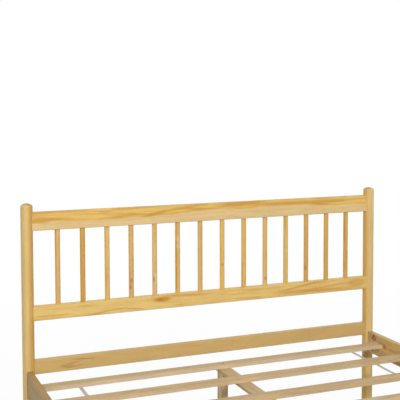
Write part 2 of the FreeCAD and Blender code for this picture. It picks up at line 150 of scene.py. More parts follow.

# The left side rail is painted darker and browner than the other boards, painted shade for its
# outer face, and almost matt; the spindle rail is the palest gold.
SHADE_DARKENED_BROWNER = BROWNER | {
    "heart early": "#B18F54", "heart late": "#96703A",
    "sap early": "#B39661", "sap late": "#9C7C48", "flame": "#A07A3E",
    "coat": 0.0, "specular": 0.07}
PALE_GOLD = LACQUERED | {"heart early": "#E3C378", "heart late": "#D0A355"}

# The bottom rail has a few reddish brown scribbles, the spindles' pin knots are orange, and one
# spindle's streak is yellow.
SCRIBBLED = BROWNER | {"flame": "#A0682F"}
SPINDLE = LACQUERED | {"knot": "#AE6624"}
YELLOW_STREAK = SPINDLE | {"flame": "#DCA62A"}

# Planed pine with only a thin matt sealer: paler and greyer, hardly any gloss, a rougher touch.
PLANED = {
    "wood": "pine",
    "heart early": "#D2B990", "heart late": "#AC8A5E",
    "sap early": "#D6BF99", "sap late": "#B49A72",
    "flame": "#BC9A68", "fleck": "#86643E", "knot": "#7A5530",
    "roughness": 0.62, "coat": 0.0, "coat roughness": 0.4, "specular": 0.25, "relief": 0.18,
    "fibre": 0.12}

# The centre legs get a paler copy of it: painted light that lifts them out of the shade under the
# slats.
LIGHTENED_PLANED_LEG = PLANED | {
    "heart early": "#DFC496", "heart late": "#B89564",
    "sap early": "#E3CA9F", "sap late": "#C0A578"}

# Dry turned beech: pinkish, even, with short flecks and no gloss.
BEECH = {
    "wood": "beech",
    "heart early": "#D6B48C", "heart late": "#C29B70",
    "sap early": "#D9BA94", "sap late": "#C8A47A",
    "flame": "#CFA67A", "fleck": "#9A7048", "knot": "#8A6038",
    "roughness": 0.6, "coat": 0.0, "coat roughness": 0.4, "specular": 0.25, "relief": 0.12,
    "fibre": 0.05}

SCORCH_AND_SHADE = "#7C3210"         # a dark reddish brown: wood that a hot drill has burnt, and painted shade round the bores


# ---------------------------------------------------------------- wood: how it grew

# The turn that brings the grain of a board that lies along X, Y or Z to the third axis.
GRAIN_TO_Z = {"X": Euler((0, -math.pi / 2, 0)), "Y": Euler((math.pi / 2, 0, 0)),
              "Z": Euler((0, 0, 0))}

# The cells of each noise, in mm across the grain and along it, and its detail.
FIBRES = (1.4, 75.0, 3.0)          # bundles: single fibres, 0.03 mm wide, are too fine to show
FLECKS = (0.9, 14.0, 0.0)          # resin canals cut lengthwise
RIPPLES = (15.0, 190.0, 2.0)       # the growth rings' own unevenness
GOLD = (13.0, 210.0, 2.0)          # deeper golden streaks in the heartwood
CLOUDS = (30.0, 150.0, 2.0)        # slow lighter and darker areas
STEM_BENDS = (120.0, 560.0, 1.0)   # the slow bend of the whole stem
NOISE_ROUGHNESS = 0.55
SEED_STEP = (37.3, 61.7, 23.9)     # shifts the noise of one board from the next

# The noise values, from 0 to 1, between which an effect goes from none or least to full.
MOOD_SPAN = (0.35, 0.65)           # faint and strong years
GOLD_SPAN = (0.50, 0.66)
FLECK_SPAN = (0.68, 0.80)
TONE_SPAN = (0.30, 0.70)
ROUGHNESS_SPAN = (0.25, 0.75)

RIPPLE_REACH = 2.2                 # ring widths by which the ripples move the rings

# The late wood in one year, from spring to winter: places in the year and shares.
ONE_YEAR = ((0.0, 0.0), (0.35, 0.10), (0.82, 1.0), (0.93, 0.75), (1.0, 0.0))
MOOD_STEP = 0.43                   # noise cells per year: two or three years are much alike
FAINTEST_YEAR = 0.30               # the late wood that shows in the faintest year
FLECK_DEPTH = 0.35
CLOUD_TONES = (0.95, 1.04)
END_GRAIN = (0.75, 0.98)           # how squarely a face cuts the grain: side grain, end grain
END_TONE = 0.80                    # end grain drinks more lacquer and is darker
ROUGHNESS_SPREAD = 0.05
FIBRE_RELIEF = 0.6                 # the fibres' height beside the late wood's
RELIEF_DEPTH = 0.3 * MM

# How far the rings step aside for a knot, and where that ends; where a mark's full colour
# ends, and its last trace. All are in the mark's own half sizes.
KNOT_PUSH, KNOT_REACH = 1.1, 4.0
FLAME_RIM = (0.5, 1.25)
KNOT_RIM = (0.4, 1.25)
SCORCH_AND_SHADE_RIM = (0.85, 1.15)


def mark_at(first, second, along, half_width, half_length, depth, slope=0.0):
    """A knot, a single flame or a scorched rim with painted shade round a bore. Its place is in mm
    from the board's middle, on the two axes across the grain and along it, and its half width
    and half length are in mm. Depth is how far its core takes the mark's colour, and slope its
    rise along the grain."""
    return {"place": (first, second, along), "size": (half_width, half_width, half_length),
            "depth": depth, "slope": slope}


def board_places(tree, node, turn):
    """Places in mm from a board's middle, turned so that the third axis is the grain."""
    return add(tree, "ShaderNodeMapping", {
        "Vector": add(tree, "ShaderNodeTexCoord").outputs["Object"],
        "Location": -(turn @ centre_mm(node)), "Rotation": turn.to_euler(),
        "Scale": (PER_METRE,) * 3}).outputs[0]


def stem_noise(tree, board, shift, cells, output="Fac"):
    """Noise in cells that are stretched along the grain."""
    across, along, detail = cells
    place = add(tree, "ShaderNodeVectorMath", {
        0: board, 1: (1 / across, 1 / across, 1 / along), 2: shift},
        operation="MULTIPLY_ADD").outputs[0]
    return add(tree, "ShaderNodeTexNoise", {
        "Vector": place, "Scale": 1.0, "Detail": detail,
        "Roughness": NOISE_ROUGHNESS}).outputs[output]


def pith_distance(tree, board, bend, pith, wander):
    """The distance from the pith, across the grain. The bend moves the pith by up to half the
    wander to each side."""
    from_line = add(tree, "ShaderNodeVectorMath", {
        0: board, 1: (pith[0] + wander / 2, pith[1] + wander / 2, 0)},
        operation="SUBTRACT").outputs[0]
    bent = add(tree, "ShaderNodeVectorMath", {
        0: bend, 1: (wander, wander, 0), 2: from_line}, operation="MULTIPLY_ADD").outputs[0]
    flat = add(tree, "ShaderNodeVectorMath", {0: bent, 1: (1, 1, 0)},
               operation="MULTIPLY").outputs[0]
    return add(tree, "ShaderNodeVectorMath", {0: flat}, operation="LENGTH").outputs["Value"]


def reach(tree, edges, mark):
    """How far a point lies from a mark's middle, where 1 is the mark's own outline."""
    span = add(tree, "ShaderNodeMapping", {
        "Vector": edges, "Location": mark["place"],
        "Rotation": (0, -math.atan(mark["slope"]), 0), "Scale": mark["size"]},
        vector_type="TEXTURE").outputs[0]
    return add(tree, "ShaderNodeVectorMath", {0: span}, operation="LENGTH").outputs["Value"]


def round_knots(tree, radius, knots, reaches):
    """The radius, grown round each knot, so that the rings bend round it."""
    for knot, far in zip(knots, reaches):
        push = add(tree, "ShaderNodeMapRange", {
            0: far, 1: 0.0, 2: KNOT_REACH, 3: KNOT_PUSH * knot["size"][0], 4: 0.0},
            interpolation_type="SMOOTHSTEP").outputs[0]
        radius = add(tree, "ShaderNodeMath", {0: radius, 1: push}, operation="ADD").outputs[0]
    return radius


def late_wood(tree, radius, ring, figure):
    """The share of late wood. The radius over the ring width counts the years, and its fraction
    is the place inside one year, which runs from early wood to late wood and drops back."""
    years = add(tree, "ShaderNodeMath", {0: radius, 1: ring}, operation="DIVIDE").outputs[0]
    in_year = add(tree, "ShaderNodeMath", {0: years}, operation="FRACT").outputs[0]
    late = add(tree, "ShaderNodeValToRGB", {0: in_year}, stops=ONE_YEAR).outputs[0]
    mood = add(tree, "ShaderNodeTexNoise", {"W": years, "Scale": MOOD_STEP, "Detail": 1.0},
               noise_dimensions="1D").outputs["Fac"]
    strength = add(tree, "ShaderNodeMapRange", {
        0: mood, 1: MOOD_SPAN[0], 2: MOOD_SPAN[1], 3: FAINTEST_YEAR * figure,
        4: figure}).outputs[0]
    return add(tree, "ShaderNodeMath", {0: late, 1: strength}, operation="MULTIPLY",
               use_clamp=True).outputs[0]


def heart_and_sap(tree, in_heart, late, finish):
    """Early and late wood in the colours of the heartwood and of the sapwood."""
    early_colour, late_colour = [
        add(tree, "ShaderNodeMix", {
            0: in_heart, 6: linear(finish["sap " + part]), 7: linear(finish["heart " + part])},
            data_type="RGBA").outputs[2] for part in ("early", "late")]
    return add(tree, "ShaderNodeMix", {0: late, 6: early_colour, 7: late_colour},
               data_type="RGBA").outputs[2]


def streaked(tree, wood, in_heart, streak, fleck, finish, flame, warmth):
    """The wood with golden streaks in its heart, that gold's warmth all over, and flecks."""
    gold = add(tree, "ShaderNodeMapRange", {
        0: streak, 1: GOLD_SPAN[0], 2: GOLD_SPAN[1], 3: 0.0, 4: flame},
        interpolation_type="SMOOTHSTEP").outputs[0]
    gold = add(tree, "ShaderNodeMath", {0: gold, 1: in_heart, 2: warmth},
               operation="MULTIPLY_ADD", use_clamp=True).outputs[0]
    wood = add(tree, "ShaderNodeMix", {0: gold, 6: wood, 7: linear(finish["flame"])},
               data_type="RGBA").outputs[2]
    flecked = add(tree, "ShaderNodeMapRange", {
        0: fleck, 1: FLECK_SPAN[0], 2: FLECK_SPAN[1], 3: 0.0, 4: FLECK_DEPTH},
        interpolation_type="SMOOTHSTEP").outputs[0]
    return add(tree, "ShaderNodeMix", {0: flecked, 6: wood, 7: linear(finish["fleck"])},
               data_type="RGBA").outputs[2]


def marked(tree, wood, marks):
    """The wood with its marks: each comes with its reach, its colour and its rim."""
    for mark, far, colour, (full, gone) in marks:
        core = add(tree, "ShaderNodeMapRange", {
            0: far, 1: full, 2: gone, 3: mark["depth"], 4: 0.0},
            interpolation_type="SMOOTHSTEP").outputs[0]
        wood = add(tree, "ShaderNodeMix", {0: core, 6: wood, 7: linear(colour)},
                   data_type="RGBA").outputs[2]
    return wood


def toned(tree, wood, grain_line, fibre, cloud, finish):
    """The wood with darker end grain and with the tones of its fibres and clouds."""
    facing = add(tree, "ShaderNodeVectorMath", {
        0: add(tree, "ShaderNodeTexCoord").outputs["Normal"], 1: grain_line},
        operation="DOT_PRODUCT").outputs["Value"]
    end_on = add(tree, "ShaderNodeMath", {0: facing}, operation="ABSOLUTE").outputs[0]
    end_tone = add(tree, "ShaderNodeMapRange", {
        0: end_on, 1: END_GRAIN[0], 2: END_GRAIN[1], 3: 1.0, 4: END_TONE},
        interpolation_type="SMOOTHSTEP").outputs[0]
    fibre_tone = add(tree, "ShaderNodeMapRange", {
        0: fibre, 1: TONE_SPAN[0], 2: TONE_SPAN[1], 3: 1.0 - finish["fibre"],
        4: 1.0 + finish["fibre"]}).outputs[0]
    cloud_tone = add(tree, "ShaderNodeMapRange", {
        0: cloud, 1: TONE_SPAN[0], 2: TONE_SPAN[1], 3: CLOUD_TONES[0],
        4: CLOUD_TONES[1]}).outputs[0]
    tone = end_tone
    for other in (fibre_tone, cloud_tone):
        tone = add(tree, "ShaderNodeMath", {0: tone, 1: other}, operation="MULTIPLY").outputs[0]
    return add(tree, "ShaderNodeVectorMath", {0: wood, "Scale": tone},
               operation="SCALE").outputs[0]


def grained_wood(node, grain, finish, pith, lean=(0.0, 0.0), ring=4.5, heart=60.0,
                 blend=2.0, wander=14.0, figure=1.0, flame=0.6, warmth=0.0, seed=0,
                 knots=(), flames=(), scorch_and_shade_marks=()):
    """Dresses a wooden node in a solid texture of its own, as it was sawn from a stem.

    pith is how far, in mm, the stem's middle lies from the board's own middle, across the
    grain, and lean its slope. Ring is the width of a year and heart the radius of the
    heartwood, in mm; blend is half the width in which the two woods' colours change. Figure is
    how strongly the late wood shows, flame how strongly the golden streaks do, and warmth lays
    their colour all over. Knots, flames and scorch_and_shade_marks are lists of marks; the last
    are scorched rims with painted shade.
    """
    material, tree, surface = new_material(
        finish["wood"] + "_" + node, Coat_Weight=finish["coat"],
        Coat_Roughness=finish["coat roughness"], Specular_IOR_Level=finish["specular"])
    straight = GRAIN_TO_Z[grain].to_matrix()
    edges = board_places(tree, node, straight)
    board = board_places(tree, node, Euler((lean[1], -lean[0], 0)).to_matrix() @ straight)
    shift = Vector(SEED_STEP) * (seed + 1)
    fibre, fleck, ripple, streak, cloud = [
        stem_noise(tree, board, shift, cells) for cells in (FIBRES, FLECKS, RIPPLES, GOLD, CLOUDS)]
    bend = stem_noise(tree, board, shift, STEM_BENDS, "Color")

    reaches = [reach(tree, edges, knot) for knot in knots]
    radius = round_knots(tree, pith_distance(tree, board, bend, pith, wander), knots, reaches)
    radius = add(tree, "ShaderNodeMath", {0: ripple, 1: RIPPLE_REACH * ring, 2: radius},
                 operation="MULTIPLY_ADD").outputs[0]
    # The ripples add half their reach on average, so the heart's edge lies that much further.
    heart_edge = heart + RIPPLE_REACH / 2 * ring
    in_heart = add(tree, "ShaderNodeMapRange", {
        0: radius, 1: heart_edge - blend, 2: heart_edge + blend, 3: 1.0, 4: 0.0},
        interpolation_type="SMOOTHSTEP").outputs[0]

    late = late_wood(tree, radius, ring, figure)
    wood = heart_and_sap(tree, in_heart, late, finish)
    wood = streaked(tree, wood, in_heart, streak, fleck, finish, flame, warmth)
    wood = marked(tree, wood, [
        *((mark, reach(tree, edges, mark), finish["flame"], FLAME_RIM) for mark in flames),
        *((mark, far, finish["knot"], KNOT_RIM) for mark, far in zip(knots, reaches)),
        *((mark, reach(tree, edges, mark), SCORCH_AND_SHADE, SCORCH_AND_SHADE_RIM) for mark in scorch_and_shade_marks)])
    grain_line = straight.transposed() @ Vector((0, 0, 1))
    wood = toned(tree, wood, grain_line, fibre, cloud, finish)
    tree.links.new(wood, surface.inputs["Base Color"])

    rough = add(tree, "ShaderNodeMapRange", {
        0: fibre, 1: ROUGHNESS_SPAN[0], 2: ROUGHNESS_SPAN[1],
        3: finish["roughness"] + ROUGHNESS_SPREAD,
        4: finish["roughness"] - ROUGHNESS_SPREAD}).outputs[0]
    tree.links.new(rough, surface.inputs["Roughness"])
    height = add(tree, "ShaderNodeMath", {0: fibre, 1: FIBRE_RELIEF, 2: late},
                 operation="MULTIPLY_ADD").outputs[0]
    relief = add(tree, "ShaderNodeBump", {
        "Height": height, "Strength": finish["relief"], "Distance": RELIEF_DEPTH}).outputs[0]
    tree.links.new(relief, surface.inputs["Normal"])
    dress(NODES[node], material)


def variation(index, salt):
    """A steady number from 0 to 1 for a piece: multiples of two irrational steps, wrapped."""
    return (index * 0.618034 + salt * 0.754878) % 1.0


# ---------------------------------------------------------------- dressing the headboard

# Each board's stem: where its pith lay, in mm from the board's middle. For boards along X the
# first value is downwards and the second towards the head; along Y they are +X and downwards;
# for upright pieces they are +X and +Y.

def on_front(board, *marks):
    """Marks on the front of a board along X: each is (down, along, and the rest of a mark)."""
    _, half_thickness, _ = half_size_mm(board)
    return [mark_at(down, -half_thickness, *rest) for down, *rest in marks]


grained_wood(
    "headboard_top_rail", "X", LACQUERED, pith=(-28, 48), lean=(0.002, 0.004), ring=7.0,
    heart=70, wander=20, figure=0.7, flame=0.75, seed=1, flames=on_front(
        "headboard_top_rail",
        (-6, -255, 8, 60, 0.8, 0.18), (-24, -130, 7, 110, 0.6, 0.12),
        (-27, 130, 8, 120, 0.75, 0.03), (-20, 440, 9, 280, 0.75)))
grained_wood(
    "headboard_spindle_rail", "X", PALE_GOLD, pith=(14, 40), lean=(0.004, 0.012), ring=8.0,
    heart=150, wander=24, figure=0.6, flame=0.4, seed=2,
    flames=on_front(
        "headboard_spindle_rail",
        (-11, -228, 12, 42, 1.0), (-20, -120, 7, 110, 0.6, -0.05),
        (12, -690, 3, 80, 0.7), (19, -490, 3, 75, 0.8, 0.13), (11, -412, 3, 32, 0.8),
        (17, -345, 3, 50, 0.7, -0.15), (12, 480, 9, 210, 0.6, -0.02),
        (-12, 430, 4, 130, 0.8, 0.14), (-2, 580, 3, 150, 0.7, 0.08), (-4, 715, 20, 50, 0.6)),
    knots=on_front("headboard_spindle_rail", (-12, -238, 7, 18, 0.4)))
grained_wood(
    "headboard_bottom_rail", "X", SCRIBBLED, pith=(60, 70), lean=(0.0, 0.003), ring=3.6,
    heart=0, wander=16, figure=0.45, seed=3, flames=on_front(
        "headboard_bottom_rail",
        (-13, -560, 1.8, 58, 0.8, -0.06), (-4, -600, 1.5, 40, 0.6, 0.1),
        (8, -632, 9, 34, 0.4), (14, -600, 1.8, 45, 0.6, 0.12)))

# Each post's heartwood lies on the side that looks at the bed: its darker colour is painted shade
# on the posts' inner sides.
INNER_SHADE_POST_PITHS = {"head_post_left": (30, -6), "head_post_right": (-26, 16),
              "foot_post_left": (28, 10), "foot_post_right": (-30, 4)}
for index, (name, pith) in enumerate(INNER_SHADE_POST_PITHS.items()):
    grained_wood(name, "Z", TURNED_POST, pith=pith, lean=(0.004, 0.003), ring=5.0, heart=34,
                 blend=8, wander=6, figure=0.6, flame=0.5, seed=10 + index)

# The warmth that all spindles have, what some have above it, and how far the heartwood reaches
# past a spindle's middle, in mm, where the variation doesn't set it: a spindle that it hardly
# reaches is pale, and from 10.5 on all of a spindle is heartwood.
COMMON_WARMTH = 0.1
DEEPER_GOLD = {"spindle_01": 0.3, "spindle_02": 0.6, "spindle_04": 0.35, "spindle_06": 0.1,
               "spindle_07": 0.2, "spindle_08": 0.15, "spindle_12": 0.55, "spindle_13": 0.4,
               "spindle_14": 0.5}
HEART_PAST_MIDDLE = {
    "spindle_03": 1, "spindle_05": -8, "spindle_07": 2, "spindle_08": -1, "spindle_09": 14,
    "spindle_10": -3, "spindle_11": 6}

# Pin knots (height above the floor, place to the right) and golden streaks (height, place,
# half length), in mm. They lie on the side that looks to the foot and a little to the left.
PIN_KNOTS = {
    "spindle_04": ((662, 2), (634, -2)), "spindle_05": ((660, -4),), "spindle_06": ((806, -7),),
    "spindle_08": ((698, 0),), "spindle_10": ((622, 0),), "spindle_12": ((653, -3),)}
STREAKS = {"spindle_04": ((650, -2, 30),), "spindle_06": ((700, -5, 90),),
           "spindle_08": ((743, -4, 42),), "spindle_14": ((700, 4, 80),)}
SIDE_X, KNOT_Y, STREAK_Y = -3, -9, -8
KNOT_HALF_WIDTH, KNOT_HALF_LENGTH, KNOT_DEPTH = 5.5, 10.0, 0.6
STREAK_HALF_WIDTH, STREAK_DEPTH = 3.0, 0.7


def spindle_marks(name):
    """The pin knots and the streaks of one spindle."""
    middle = centre_mm(name).z
    knots = [mark_at(place + SIDE_X, KNOT_Y, height - middle, KNOT_HALF_WIDTH,
                     KNOT_HALF_LENGTH, KNOT_DEPTH) for height, place in PIN_KNOTS.get(name, ())]
    streaks = [mark_at(place + SIDE_X, STREAK_Y, height - middle, STREAK_HALF_WIDTH, length,
                       STREAK_DEPTH) for height, place, length in STREAKS.get(name, ())]
    return {"knots": knots, "flames": streaks}


for index, name in enumerate(SPINDLES):
    angle = 2 * math.pi * variation(index, 3)
    away = 30 + 30 * variation(index, 4)
    past_middle = HEART_PAST_MIDDLE.get(name, 4 + 12 * variation(index, 7))
    grained_wood(
        name, "Z", YELLOW_STREAK if name == "spindle_08" else SPINDLE,
        pith=(away * math.cos(angle), away * math.sin(angle)),
        lean=(0.012 * variation(index, 5), -0.01 * variation(index, 6)), ring=5.0,
        heart=away + past_middle, wander=10, figure=0.8, flame=0.7,
        warmth=COMMON_WARMTH + DEEPER_GOLD.get(name, 0.0), seed=20 + index,
        **spindle_marks(name))


# ---------------------------------------------------------------- dressing the rails

# The bores of the barrel nuts in the side rails, and the small blind holes above them, are
# scorched reddish brown and smeared along the grain; their dark rims are also painted shade
# of the recesses. A hole's mark lies deeper and higher.
NUT_RADIUS = 8.0             # mm
BLIND_HOLE_RISE = 12.5       # mm from the nut's middle up to the hole's
SCORCH_AND_SHADE_DEPTH = 0.92
SCORCH_AND_SHADE_SPOTS = ((0, 0, 11, 16), (3, BLIND_HOLE_RISE, 6, 7))    # mm: deep, up, half width and length


def bores(rail):
    """The scorched rims, with painted shade, on one side rail's inner face: two nuts, one above
    the other, at each end.
    """
    inward = 1 if centre_mm(rail).x < 0 else -1
    half_thickness, _, _ = half_size_mm(rail)
    _, nuts_along, nuts_up = half_size_mm("barrel_nuts")
    along, level = nuts_along - NUT_RADIUS, nuts_up - NUT_RADIUS
    return [mark_at(inward * (half_thickness - inset), down - rise, end, half_width,
                    half_length, SCORCH_AND_SHADE_DEPTH)
            for end in (-along, along) for down in (level, -level)
            for inset, rise, half_width, half_length in SCORCH_AND_SHADE_SPOTS]


RIGHT_RAIL_KNOT = mark_at(-12, -8, 884, 7, 10, 0.5)
# The left side rail's darker finish is painted shade on its outer face.
grained_wood("side_rail_left", "Y", SHADE_DARKENED_BROWNER, pith=(40, 10), lean=(0.03, 0.006), ring=5.0,
             heart=58, wander=20, seed=5, scorch_and_shade_marks=bores("side_rail_left"))
grained_wood("side_rail_right", "Y", BROWNER, pith=(28, -6), lean=(0.04, 0.006), ring=5.0,
             heart=60, wander=20, seed=6, knots=[RIGHT_RAIL_KNOT],
             scorch_and_shade_marks=bores("side_rail_right"))
grained_wood("foot_rail", "X", BROWNER, pith=(-20, -55), lean=(0.003, 0.006), ring=5.0,
             heart=66, wander=20, seed=4)
for index, name in enumerate(("slat_ledger_left", "slat_ledger_right")):
    grained_wood(name, "Y", BROWNER, pith=(30 - 60 * index, 25), ring=4.0, heart=30,
                 figure=0.8, seed=7 + index)


# ---------------------------------------------------------------- dressing the slatted base

# The head slat is nearly all sapwood, with faint lines. The others have more heartwood and
# stronger lines.
for index, name in enumerate(SLATS):
    plain = name == "end_slat_head"
    side = 1 if index % 2 else -1
    grained_wood(
        name, "X", PLANED,
        pith=(side * (30 + 25 * variation(index, 8)), 24 * variation(index, 9) - 12),
        lean=(0.004 * variation(index, 10), 0.003), ring=4.2,
        heart=50 * variation(index, 11) + (-30 if plain else 20), wander=16,
        figure=0.45 if plain else 0.85, seed=40 + index)
grained_wood("centre_beam", "Y", PLANED, pith=(8, 46), lean=(0.004, 0.002), ring=4.6,
             heart=40, warmth=0.3, seed=55)
# The centre legs' paler finish is painted light.
for index, name in enumerate(LEGS):
    grained_wood(name, "Z", LIGHTENED_PLANED_LEG, pith=(-24, 20 + 10 * index), ring=4.0, heart=22,
                 figure=0.6, seed=60 + index)


# ---------------------------------------------------------------- dowels

DOWEL_GRAIN = {"headboard_dowels": "X", "foot_rail_dowels": "X", "side_rail_dowels": "Y"}
for index, (name, grain) in enumerate(DOWEL_GRAIN.items()):
    grained_wood(name, grain, BEECH, pith=(60, 60), ring=3.0, heart=0, figure=0.5,
                 seed=70 + index)


# ---------------------------------------------------------------- steel fittings

PLATING_CLOUD = 3.0 * MM     # light and dark areas of the plating
PLATING_GRIT = 0.5 * MM      # its fine unevenness
GRIT_DEPTH = 0.05 * MM
CLOUD_SPAN = (0.3, 0.7)      # the noise where the plating is smoothest and where it is roughest
SMOOTHER, ROUGHER = 0.06, 0.08


def plated_steel(name, light, dark, roughness):
    """Steel under a thin plated or bronzed skin: even metal with fine grit, faintly clouded where
    the parts rubbed on each other in the barrel."""
    material, tree, surface = new_material(name, Metallic=1.0)
    place = add(tree, "ShaderNodeTexCoord").outputs["Object"]
    cloud = add(tree, "ShaderNodeTexNoise", {
        "Vector": place, "Scale": 1 / PLATING_CLOUD, "Detail": 3.0}).outputs["Fac"]
    colour = add(tree, "ShaderNodeMix", {0: cloud, 6: linear(dark), 7: linear(light)},
                 data_type="RGBA").outputs[2]
    tree.links.new(colour, surface.inputs["Base Color"])
    rough = add(tree, "ShaderNodeMapRange", {
        0: cloud, 1: CLOUD_SPAN[0], 2: CLOUD_SPAN[1], 3: roughness - SMOOTHER,
        4: roughness + ROUGHER}).outputs[0]
    tree.links.new(rough, surface.inputs["Roughness"])
    grit = add(tree, "ShaderNodeTexNoise", {
        "Vector": place, "Scale": 1 / PLATING_GRIT, "Detail": 2.0}).outputs["Fac"]
    relief = add(tree, "ShaderNodeBump", {
        "Height": grit, "Strength": 0.12, "Distance": GRIT_DEPTH}).outputs[0]
    tree.links.new(relief, surface.inputs["Normal"])
    return material


# Zinc is a cool bright grey, and yellow passivated zinc a dull brassy brown. Galvanised wire is a
# duller grey, and bronzed steel a warm coppery brown.
zinc = plated_steel("zinc_plated_steel", "#C9CBCE", "#A7AAAE", 0.34)
yellow_zinc = plated_steel("yellow_passivated_zinc", "#A5834E", "#7A5C34", 0.45)
galvanised = plated_steel("galvanised_wire", "#BFC1C4", "#989B9F", 0.40)
bronzed = plated_steel("bronzed_steel", "#D08C5C", "#A0643A", 0.55)
FITTINGS = {"bed_bolts": zinc, "bolt_washers": zinc, "barrel_nuts": bronzed,
            "ledger_screws": yellow_zinc, "leg_screws": yellow_zinc,
            "slat_screws": yellow_zinc, "webbing_staples": galvanised}
for name, steel in FITTINGS.items():
    dress(NODES[name], steel)


# ---------------------------------------------------------------- glides

SPARK = 0.8 * MM             # the grain of the mould's spark texture
SPARK_DEPTH = 0.08 * MM


def moulded_nylon():
    """Moulded nylon: a warm grey white, slightly waxy, with the mould's fine spark texture."""
    material, tree, surface = new_material("moulded_nylon", Roughness=0.48)
    place = add(tree, "ShaderNodeTexCoord").outputs["Object"]
    spark = add(tree, "ShaderNodeTexNoise", {
        "Vector": place, "Scale": 1 / SPARK, "Detail": 2.0}).outputs["Fac"]
    colour = add(tree, "ShaderNodeMix", {0: spark, 6: linear("#CFC9BC"), 7: linear("#DDD8CC")},
                 data_type="RGBA").outputs[2]
    tree.links.new(colour, surface.inputs["Base Color"])
    relief = add(tree, "ShaderNodeBump", {
        "Height": spark, "Strength": 0.2, "Distance": SPARK_DEPTH}).outputs[0]
    tree.links.new(relief, surface.inputs["Normal"])
    return material


nylon = moulded_nylon()
for name in ("post_glides", "leg_glides"):
    dress(NODES[name], nylon)


# ---------------------------------------------------------------- webbing

TAPE_WEFT = 1.3              # mm between the ribs that cross the tape
TAPE_WARP = 0.75             # mm between the yarns that run along it
WEAVE_DEPTH = 0.25 * MM
TAPE_ROUND = 24              # points round the tape's section
TAPE_SQUARENESS = 0.35       # the power that flattens the section's oval; 1 is an ellipse
TAPE_STEPS = 9               # rings along each span between two slats
TAPE_SAG = 2.2 * MM          # how far the ribbon hangs in the middle of a full span


def woven_tape():
    """Woven polypropylene tape: dull grey white, close ribs across it and fine yarns along it.
    It reads the piece's UV map, which holds millimetres across and along the tape."""
    material, tree, surface = new_material("woven_tape", Roughness=0.82, Sheen_Weight=0.25)
    tape = add(tree, "ShaderNodeUVMap", uv_map="tape").outputs[0]
    parts = add(tree, "ShaderNodeSeparateXYZ", {0: tape}).outputs
    angles = [add(tree, "ShaderNodeMath", {0: part, 1: 2 * math.pi / step},
                  operation="MULTIPLY").outputs[0]
              for part, step in ((parts[0], TAPE_WARP), (parts[1], TAPE_WEFT))]
    warp, weft = [add(tree, "ShaderNodeMath", {0: angle}, operation="SINE").outputs[0]
                  for angle in angles]
    over = add(tree, "ShaderNodeMath", {0: warp, 1: weft}, operation="MULTIPLY").outputs[0]
    weave = add(tree, "ShaderNodeMath", {0: over, 1: weft}, operation="ADD").outputs[0]
    lift = add(tree, "ShaderNodeMapRange", {      # two sines add up to -2 to 2
        0: weave, 1: -2.0, 2: 2.0, 3: 0.0, 4: 1.0}).outputs[0]
    colour = add(tree, "ShaderNodeMix", {0: lift, 6: linear("#A5A29A"), 7: linear("#CFCBC2")},
                 data_type="RGBA").outputs[2]
    tree.links.new(colour, surface.inputs["Base Color"])
    relief = add(tree, "ShaderNodeBump", {
        "Height": lift, "Strength": 0.6, "Distance": WEAVE_DEPTH}).outputs[0]
    tree.links.new(relief, surface.inputs["Normal"])
    return material


def tube_mesh(name, grid):
    """A closed tube from rings of points: grid is (rings, points, xyz); both ends are capped."""
    rings, points = grid.shape[:2]
    first = np.arange(points)
    after = np.roll(first, -1)
    start = np.arange(rings - 1)[:, None] * points
    quads = np.stack([start + first, start + after, start + points + after,
                      start + points + first], -1).reshape(-1, 4)
    faces = quads.tolist() + [first[::-1].tolist(), (first + (rings - 1) * points).tolist()]
    mesh = bpy.data.meshes.new(name)
    mesh.from_pydata(grid.reshape(-1, 3).tolist(), [], faces)
    mesh.polygons.foreach_set("use_smooth", np.ones(len(faces), bool))
    mesh.update()
    piece = bpy.data.objects.new(name, mesh)
    bpy.context.scene.collection.objects.link(piece)
    return piece


def hanging_line(low, high):
    """The ribbon's places along the bed, from low to high, and how far it hangs there. It touches
    every slat, and hangs in a parabola between two, whose depth goes with its length squared."""
    slats = sorted((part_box(slat)[0].y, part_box(slat)[1].y) for slat in SLATS)
    widest = max(after[0] - here[1] for here, after in zip(slats, slats[1:]))
    share = np.linspace(0, 1, TAPE_STEPS)[1:]
    stations = [low, slats[0][1]]
    drops = [0.0, 0.0]
    for here, after in zip(slats, slats[1:]):
        span = after[0] - here[1]
        stations += (here[1] + share * span).tolist()
        drops += (TAPE_SAG * (span / widest) ** 2 * 4 * share * (1 - share)).tolist()
        stations.append(min(after[1], high))
        drops.append(0.0)
    return np.array(stations), np.array(drops)


def tape(name, node, material):
    """A ribbon under the slats. Its section is a flat oval: the half width times a cosine and the
    half thickness times a sine, each to a small power."""
    low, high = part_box(node)
    middle_x = (low.x + high.x) / 2
    half_width = (high.x - low.x) / 2
    half_thick = (high.z - low.z) / 2
    along, drop = hanging_line(low.y, high.y)
    angle = np.linspace(0, 2 * math.pi, TAPE_ROUND, endpoint=False)
    across, up = [size * np.sign(wave) * np.abs(wave) ** TAPE_SQUARENESS
                  for size, wave in ((half_width, np.cos(angle)), (half_thick, np.sin(angle)))]
    grid = np.empty((len(along), TAPE_ROUND, 3))
    grid[..., 0] = middle_x + across
    grid[..., 1] = along[:, None]
    grid[..., 2] = low.z + half_thick + up - drop[:, None]
    piece = tube_mesh(name, grid)
    uv = piece.data.uv_layers.new(name="tape")
    corner = np.empty(len(piece.data.loops), int)
    piece.data.loops.foreach_get("vertex_index", corner)
    points = grid.reshape(-1, 3)[corner]
    places = np.stack([points[:, 0] - middle_x, points[:, 1]], 1) * PER_METRE
    uv.data.foreach_set("uv", places.ravel())
    dress(piece, material)
    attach(piece, SLAT_BASE)
    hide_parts(node)


tape_finish = woven_tape()
for side in ("left", "right"):
    tape("webbing_tape_" + side, "slat_webbing_" + side, tape_finish)


# ---------------------------------------------------------------- studio

